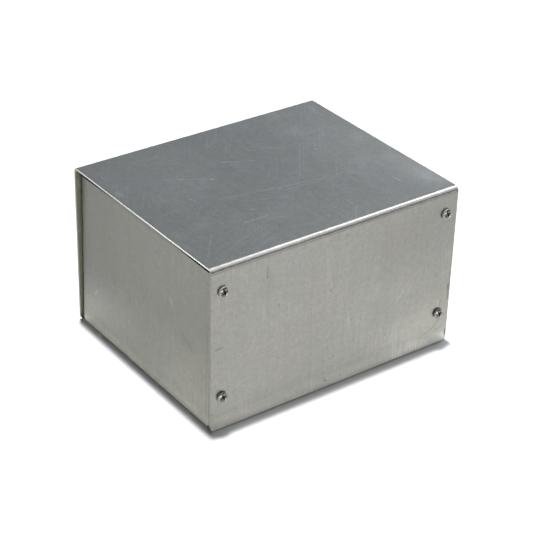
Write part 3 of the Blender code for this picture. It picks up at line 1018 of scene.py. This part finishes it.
def cover_bend(sign, x):
    """The outside of one of the cover's bends, where it passes x."""
    return [
        Vector((
            x,
            sign * (COVER_FLAT_DEPTH + COVER_BEND_RADIUS * math.sin(a)),
            COVER_BEND_Z + COVER_BEND_RADIUS * math.cos(a),
        ))
        for a in bend_angles()
    ]


def flap_outline(sign):
    """A flap below its bend, with its two rounded lower corners."""
    y = sign * HALF_DEPTH
    outline = [Vector((HALF_LENGTH, y, COVER_BEND_Z)), Vector((-HALF_LENGTH, y, COVER_BEND_Z))]
    for side, start in ((-1, math.pi), (1, 1.5 * math.pi)):
        for k in range(CORNER_STEPS + 1):
            angle = start + k / CORNER_STEPS * math.pi / 2
            outline.append(Vector((
                side * (HALF_LENGTH - FLAP_CORNER_RADIUS) + FLAP_CORNER_RADIUS * math.cos(angle),
                y,
                FLAP_BOTTOM + FLAP_CORNER_RADIUS * (1 + math.sin(angle)),
            )))
    return outline


def build_cover(sheet, edge):
    """The top and the two flaps, folded from one sheet."""
    bm = bmesh.new()
    add_panel(bm, [
        Vector((x * HALF_LENGTH, y * COVER_FLAT_DEPTH, TOP))
        for x, y in ((-1, -1), (1, -1), (1, 1), (-1, 1))
    ])
    for sign in FACES.values():
        add_strip(bm, cover_bend(sign, -HALF_LENGTH), cover_bend(sign, HALF_LENGTH))
        add_panel(bm, flap_outline(sign))
    slice_panels(bm, 0, HALF_LENGTH)
    slice_panels(bm, 1, COVER_FLAT_DEPTH)
    slice_panels(bm, 2, COVER_BEND_Z)
    join_panels(bm, Vector((0.0, 0.0, TOP / 2)), cover_unevenness)
    piece = new_object("cover_sheet", bm, sheet, edge)
    finish_folded_sheet(piece, COVER_HOLE_DIAMETER, HALF_DEPTH, edge)
    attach(piece, "root")
    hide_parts("cover")


def floor_bend_point(side, angle, y):
    """A point on the outside of the bend from the floor to an end."""
    return Vector((
        side * (FLOOR_BEND_X + BEND_RADIUS * math.sin(angle)),
        y,
        BEND_RADIUS * (1 - math.cos(angle)),
    ))


def end_point(side, up, y, inward=0.0):
    """A point on a leaning end: so far up it from the floor's bend, across it, and in from it."""
    foot = floor_bend_point(side, FOLD_ANGLE, y)
    up_the_end = Vector((-side * math.sin(END_LEAN), 0.0, math.cos(END_LEAN)))
    into_the_box = Vector((-side * math.cos(END_LEAN), 0.0, -math.sin(END_LEAN)))
    return foot + up * up_the_end + inward * into_the_box


END_HEIGHT = (END_TOP - floor_bend_point(1, FOLD_ANGLE, 0.0).z) / math.cos(END_LEAN)
CORNER_HEIGHT = END_HEIGHT - SHOULDER_DROP


def chassis_unevenness(point):
    """The ends bulge outwards towards the middle of their upper edges, and the floor dishes."""
    across = max(0.0, 1.0 - (point.y / FLANGE_BEND_Y) ** 2)
    if point.z < WELD_DISTANCE:
        return -PANEL_DISH * across * fade(point.x, FLOOR_BEND_X)
    return END_BULGE * across * (point.z / END_TOP) ** 2


def floor_outline():
    """The floor, with a point on each side edge where each end's bend stops."""
    return [
        Vector((x * FLOOR_BEND_X, y, 0.0))
        for x, y in (
            (-1, -CHASSIS_HALF_DEPTH), (1, -CHASSIS_HALF_DEPTH),
            (1, -FLANGE_BEND_Y), (1, FLANGE_BEND_Y),
            (1, CHASSIS_HALF_DEPTH), (-1, CHASSIS_HALF_DEPTH),
            (-1, FLANGE_BEND_Y), (-1, -FLANGE_BEND_Y),
        )
    ]


def floor_bend(side, y):
    """The outside of the bend from the floor to an end, where it passes y."""
    return [floor_bend_point(side, a, y) for a in bend_angles(FOLD_ANGLE)]


def end_outline(side):
    """An end between its two upright bends, with its upper edge falling towards them."""
    shoulder = 1 - SHOULDER_RUN / FLANGE_BEND_Y
    return [
        end_point(side, up, y * FLANGE_BEND_Y)
        for up, y in (
            (0.0, -1), (0.0, 1), (CORNER_RELIEF, 1), (CORNER_HEIGHT, 1),
            (END_HEIGHT, shoulder), (END_HEIGHT, -shoulder), (CORNER_HEIGHT, -1),
            (CORNER_RELIEF, -1),
        )
    ]


def flange_bend(side, sign, up):
    """The outside of the bend from an end to a flange, at one height."""
    return [
        end_point(
            side,
            up,
            sign * (FLANGE_BEND_Y + BEND_RADIUS * math.sin(a)),
            BEND_RADIUS * (1 - math.cos(a)),
        )
        for a in bend_angles()
    ]


def flange_outline(side, sign):
    """A flange behind a flap, with a slanted cut at both ends."""
    return [
        end_point(side, up, sign * CHASSIS_HALF_DEPTH, inward)
        for up, inward in (
            (CORNER_RELIEF, BEND_RADIUS),
            (CORNER_RELIEF + FLANGE_MITRE, FLANGE_WIDTH),
            (CORNER_HEIGHT - FLANGE_MITRE, FLANGE_WIDTH),
            (CORNER_HEIGHT, BEND_RADIUS),
        )
    ]


def build_chassis(sheet, edge):
    """The floor, the two ends and their four flanges, folded from one sheet."""
    bm = bmesh.new()
    add_panel(bm, floor_outline())
    for side in SIDES.values():
        add_strip(bm, floor_bend(side, -FLANGE_BEND_Y), floor_bend(side, FLANGE_BEND_Y))
        add_panel(bm, end_outline(side))
        for sign in FACES.values():
            foot = flange_bend(side, sign, CORNER_RELIEF)
            add_strip(bm, foot, flange_bend(side, sign, CORNER_HEIGHT))
            add_panel(bm, flange_outline(side, sign))
    slice_panels(bm, 0, FLOOR_BEND_X)
    slice_panels(bm, 1, FLANGE_BEND_Y)
    slice_panels(bm, 2, END_TOP)
    join_panels(bm, Vector((0.0, 0.0, TOP / 2)), chassis_unevenness)
    piece = new_object("chassis_sheet", bm, sheet, edge)
    finish_folded_sheet(piece, PILOT_HOLE_DIAMETER, CHASSIS_HALF_DEPTH, edge)
    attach(piece, "root")
    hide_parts("chassis")


def ring_of_vertices(bm, radius_at, height):
    """A ring round the screw's axis, whose radius may change with the angle."""
    angles = [2 * math.pi * k / SCREW_SIDES for k in range(SCREW_SIDES)]
    return [
        bm.verts.new((radius_at(a) * math.cos(a), radius_at(a) * math.sin(a), height))
        for a in angles
    ]


def head_rings(bm, head_radius):
    """The dome from its crown down, the skirt and the rounded foot."""
    dome_rise = CROWN_HEIGHT - HEAD_SKIRT
    rings = [[bm.verts.new((0.0, 0.0, CROWN_HEIGHT))]]
    for k in range(1, DOME_STEPS + 1):
        angle = k / DOME_STEPS * math.pi / 2
        radius = head_radius * math.sin(angle) ** DOME_FULLNESS
        height = HEAD_SKIRT + dome_rise * max(0.0, math.cos(angle)) ** DOME_FULLNESS
        rings.append(ring_of_vertices(bm, lambda a: radius, height))
    for k in range(FOOT_STEPS + 1):
        angle = k / FOOT_STEPS * math.pi / 2
        radius = head_radius - HEAD_FOOT_ROUNDING * (1 - math.cos(angle))
        height = HEAD_FOOT_ROUNDING * (1 - math.sin(angle))
        rings.append(ring_of_vertices(bm, lambda a: radius, height))
    return rings


def thread_radius(angle, depth, shank_length):
    """A sharp ridge that climbs one pitch a turn and dies out towards the point."""
    phase = (depth / THREAD_PITCH + angle / (2 * math.pi)) % 1.0
    ridge = max(0.0, 1.0 - abs(phase - 0.5) / RIDGE_HALF_WIDTH)
    taper = min(1.0, (shank_length - depth) / POINT_LENGTH)
    rise = min(1.0, depth / (RIDGE_START * THREAD_PITCH)) * min(1.0, taper * RIDGE_REACH)
    root = THREAD_ROOT / 2 * (POINT_SHARE + (1 - POINT_SHARE) * taper)
    return root + (THREAD_MAJOR - THREAD_ROOT) / 2 * ridge * rise


def thread_rings(bm, shank_length):
    """The threaded shank from the head's underside to the point."""
    rings = []
    for k in range(THREAD_ROWS + 1):
        depth = shank_length * k / THREAD_ROWS
        rings.append(ring_of_vertices(bm, lambda a: thread_radius(a, depth, shank_length), -depth))
    rings.append([bm.verts.new((0.0, 0.0, -shank_length))])
    return rings


def screw_mesh(head_radius, shank_length):
    """A turned head with a spiral thread under it, along +Z with the head's underside at zero."""
    bm = bmesh.new()
    rings = head_rings(bm, head_radius) + thread_rings(bm, shank_length)
    for upper, lower in zip(rings, rings[1:]):
        for k in range(SCREW_SIDES):
            n = (k + 1) % SCREW_SIDES
            corners = [upper[k % len(upper)], lower[k % len(lower)]]
            if len(lower) > 1:
                corners.append(lower[n])
            if len(upper) > 1:
                corners.append(upper[n])
            bm.faces.new(corners)
    bmesh.ops.recalc_face_normals(bm, faces=bm.faces)
    return bm


def recess_cutter(name, material):
    """A tapered cross that sinks into the head from its crown."""
    bm = bmesh.new()
    flare = (RECESS_OVERRUN + RECESS_DEPTH) / RECESS_DEPTH
    span = RECESS_FLOOR_SPAN + flare * (RECESS_SPAN - RECESS_FLOOR_SPAN)
    slot = RECESS_FLOOR_SLOT + flare * (RECESS_SLOT - RECESS_FLOOR_SLOT)

    def cross(length, width, z):
        """The twelve corners of a cross at one height."""
        ring = []
        for k in range(4):
            turn = Matrix.Rotation(k * math.pi / 2, 2)
            for point in ((length, -width), (length, width), (width, width)):
                ring.append(bm.verts.new((*(turn @ (Vector(point) / 2)), z)))
        return ring

    low = cross(RECESS_FLOOR_SPAN, RECESS_FLOOR_SLOT, CROWN_HEIGHT - RECESS_DEPTH)
    high = cross(span, slot, CROWN_HEIGHT + RECESS_OVERRUN)
    bm.faces.new(list(reversed(low)))
    bm.faces.new(high)
    for k in range(len(low)):
        n = (k + 1) % len(low)
        bm.faces.new((low[k], low[n], high[n], high[k]))
    bmesh.ops.recalc_face_normals(bm, faces=bm.faces)
    return new_object(name, bm, material)


def build_screw(face, level, side, plating, recess_shade):
    """One screw, at its node's place and at the turn that it was left at."""
    node = screw_node(face, level, side)
    low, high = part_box(node)
    head_radius = HEAD_SHARE * (high.x - low.x) / 2
    shank_length = (high.y - low.y) - HEAD_HEIGHT
    piece = new_object(node + "_threaded", screw_mesh(head_radius, shank_length), plating, recess_shade)
    cutter = recess_cutter(node + "_recess", recess_shade)
    placing = (
        Matrix.Translation(screw_seat(face, level, side))
        @ Matrix.Rotation(-FACES[face] * math.pi / 2, 4, "X")
        @ Matrix.Rotation(math.radians(RECESS_TURN[face, level, side]), 4, "Z")
    )
    subtract(piece, cutter)
    round_edges(piece, RECESS_EDGE_ROUNDING, 2, SCREW_ROUNDING_ANGLE)
    piece.data.shade_smooth()
    apply_modifiers(piece, cutter)
    piece.data.transform(placing)
    piece.data.set_sharp_from_angle(angle=SCREW_SHARP_ANGLE)
    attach(piece, "root")
    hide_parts(node)


# Floor and light

FLOOR_REACH = 3.0

# The studio walls' tint, their level, and brighter areas of them: azimuth and elevation in degrees,
# sharpness and level. The first two are what the top mirrors in the photograph.
WORLD_TINT = (0.93, 1.0, 1.09)
WORLD_LEVEL = 0.022
WORLD_LOBES = (
    (24.0, 28.0, 10.0, 1.12),
    (70.0, 28.0, 10.0, 0.31),
    (-45.0, 40.0, 38.0, 0.68),
    (265.0, 14.0, 16.0, 0.26),
    (180.0, 16.0, 12.0, 0.42),
    (332.0, 12.0, 14.0, 0.22),
)

# Softboxes, all aimed at the box: name, place, width, height, radiance, whether it lights the
# plain floor and whether the bare metal mirrors it. The floor's light is small and strong, so the
# metal mirrors a larger and weaker one in its place.
SOFTBOXES = (
    ("overhead_softbox", (0.060, 0.248, 5.00), 0.156, 0.190, 2080.0, True, False),
    ("overhead_glow", (0.060, 0.248, 5.00), 0.360, 0.440, 218.0, True, False),
    ("overhead_reflector", (0.054, -0.980, 4.90), 1.700, 2.600, 9.8, False, True),
    ("right_softbox", (0.95, 0.14, 1.05), 0.45, 0.55, 3.0, True, True),
)


def build_floor():
    """The plain pale studio floor under the box."""
    bm = bmesh.new()
    bmesh.ops.create_grid(bm, x_segments=2, y_segments=2, size=FLOOR_REACH)
    floor = new_object("floor", bm, floor_material())


def add_softbox(name, place, width, height, radiance, lights, mirrored):
    """A rectangular light, aimed at the box, of an even brightness."""
    data = bpy.data.lights.new(name, "AREA")
    data.shape = "RECTANGLE"
    data.size = width
    data.size_y = height
    data.energy = radiance * math.pi * width * height
    light = bpy.data.objects.new(name, data)
    bpy.context.scene.collection.objects.link(light)
    light.location = place
    light.visible_diffuse = lights
    light.visible_glossy = mirrored
    light.rotation_euler = (-Vector(place)).to_track_quat("-Z", "Y").to_euler()


def add_world():
    """A dim studio whose walls are brighter in a few soft areas."""
    world = bpy.data.worlds.new("studio")
    bpy.context.scene.world = world
    g = Graph(world, "Generated")
    total = WORLD_LEVEL
    for azimuth, elevation, sharpness, level in WORLD_LOBES:
        a, e = math.radians(azimuth), math.radians(elevation)
        middle = (math.cos(a) * math.cos(e), math.sin(a) * math.cos(e), math.sin(e))
        facing = g.math("MAXIMUM", g.vector("DOT_PRODUCT", g.position, middle), 0.0)
        lobe = g.times(g.math("POWER", facing, sharpness), level)
        total = g.math("ADD", lobe, total)
    g.feed_all(g.nodes["Background"], {"Strength": total, "Color": colour(WORLD_TINT)})


def main():
    scene = bpy.context.scene
    scene.view_settings.view_transform = "Standard"
    add_camera()
    add_world()
    for softbox in SOFTBOXES:
        add_softbox(*softbox)
    build_floor()
    edge = cut_edge_material()
    build_cover(cover_material(), edge)
    build_chassis(chassis_material(), edge)
    plating = screw_material()
    recess_shade = recess_shade_material()
    for face in FACES:
        for level, side in CORNERS:
            build_screw(face, level, side, plating, recess_shade)


main()
